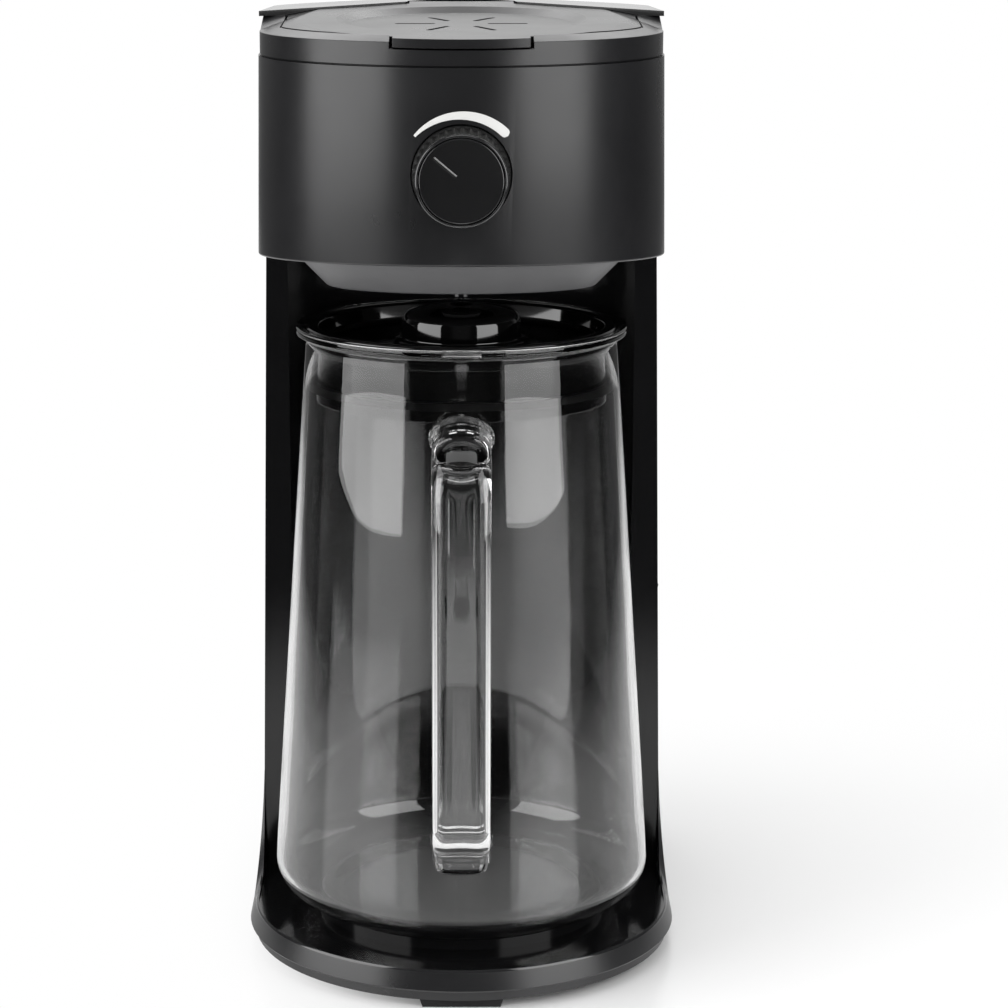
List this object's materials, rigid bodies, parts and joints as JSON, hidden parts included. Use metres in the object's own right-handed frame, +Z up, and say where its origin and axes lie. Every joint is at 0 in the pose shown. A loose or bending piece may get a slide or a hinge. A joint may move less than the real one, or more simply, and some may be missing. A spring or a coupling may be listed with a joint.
{
  "type": "iced tea maker",
  "caption": "Upright iced tea maker: a brewing head with a hinged lid and strength knob on a C-shaped body, over a clear tapered glass jug with handle and lid.",
  "frame": {"origin": "on the table, under the middle of the overall footprint", "axes": "+Z up, -Y to the front where the knob and jug handle are, +X to the user's right"},
  "size_m": [0.176, 0.2622, 0.3822],
  "materials": {
    "charcoal_abs": "fine satin moulding",
    "black_pp": "plain matte moulding",
    "grey_pp": "smooth matte moulding",
    "natural_pp": "milky moulding",
    "gloss_black": "high gloss moulding",
    "steel": "bright drawn",
    "steel_mesh": "woven mesh",
    "black_rubber": "matte",
    "silicone": "translucent",
    "red_silicone": "matte",
    "aluminium": "extruded",
    "zinc_sheet": "zinc plated",
    "heater_sheath": "heat darkened",
    "ceramic": "cream, matte",
    "brass": "turned",
    "clear_glass": "clear, fire polished"
  },
  "bodies": {
    "body": {"body_shell": "charcoal_abs", "base_plate": "black_pp", "front_foot": "black_rubber", "rear_feet": "black_rubber", "base_screws": "steel", "jug_seat": "black_pp", "head_shell": "charcoal_abs", "top_collar": "charcoal_abs", "rear_cap": "charcoal_abs", "hinge_pin": "steel", "drip_cowl": "grey_pp", "basket_sleeve": "grey_pp", "brew_basket": "grey_pp", "filter_frame": "natural_pp", "filter_mesh": "steel_mesh", "water_tank": "natural_pp", "check_valve": "natural_pp", "inlet_hose": "silicone", "heater_block": "aluminium", "heater_element": "heater_sheath", "heater_saddle": "zinc_sheet", "thermostat": "ceramic", "thermal_fuse": "zinc_sheet", "riser_tube": "silicone", "spray_head": "grey_pp", "terminal_block": "ceramic", "cord_gland": "black_rubber", "gland_nut": "black_pp", "switch_bezel": "black_pp", "knob_bush": "brass", "valve_body": "natural_pp"},
    "lid": {"lid": "charcoal_abs"},
    "knob": {"strength_knob": "charcoal_abs", "knob_cap": "charcoal_abs", "knob_shaft": "steel", "valve_rotor": "natural_pp"},
    "rocker": {"power_rocker": "gloss_black"},
    "plunger": {"drip_plunger": "grey_pp", "drip_seal": "red_silicone"},
    "jug": {"glass_jug": "clear_glass"},
    "jug_lid": {"jug_lid": "gloss_black", "jug_lid_dome": "gloss_black", "jug_lid_seal": "black_rubber"}
  },
  "joints": [
    {"name": "lid_hinge", "type": "hinge", "parent": "body", "child": "lid", "pos_m": [0, 0.04999, 0.37852], "axis": [-1, 0, 0], "range_deg": [0, 95]},
    {"name": "knob_turn", "type": "hinge", "parent": "body", "child": "knob", "pos_m": [0, -0.09251, 0.3244], "axis": [0, 1, 0], "range_deg": [0, 100]},
    {"name": "rocker_tilt", "type": "hinge", "parent": "body", "child": "rocker", "pos_m": [0.08028, 0.0769, 0.11995], "axis": [0, -1, 0], "range_deg": [0, 16]},
    {"name": "plunger_lift", "type": "slide", "parent": "body", "child": "plunger", "axis": [0, 0, 1], "range_m": [0, 0.004]},
    {"name": "jug_pull", "type": "slide", "parent": "body", "child": "jug", "axis": [0, -1, 0], "range_m": [0, 0.16]},
    {"name": "jug_lid_turn", "type": "hinge", "parent": "jug", "child": "jug_lid", "pos_m": [0, -0.0181, 0.2575], "axis": [0, 0, 1], "range_deg": [0, 90]}
  ]
}
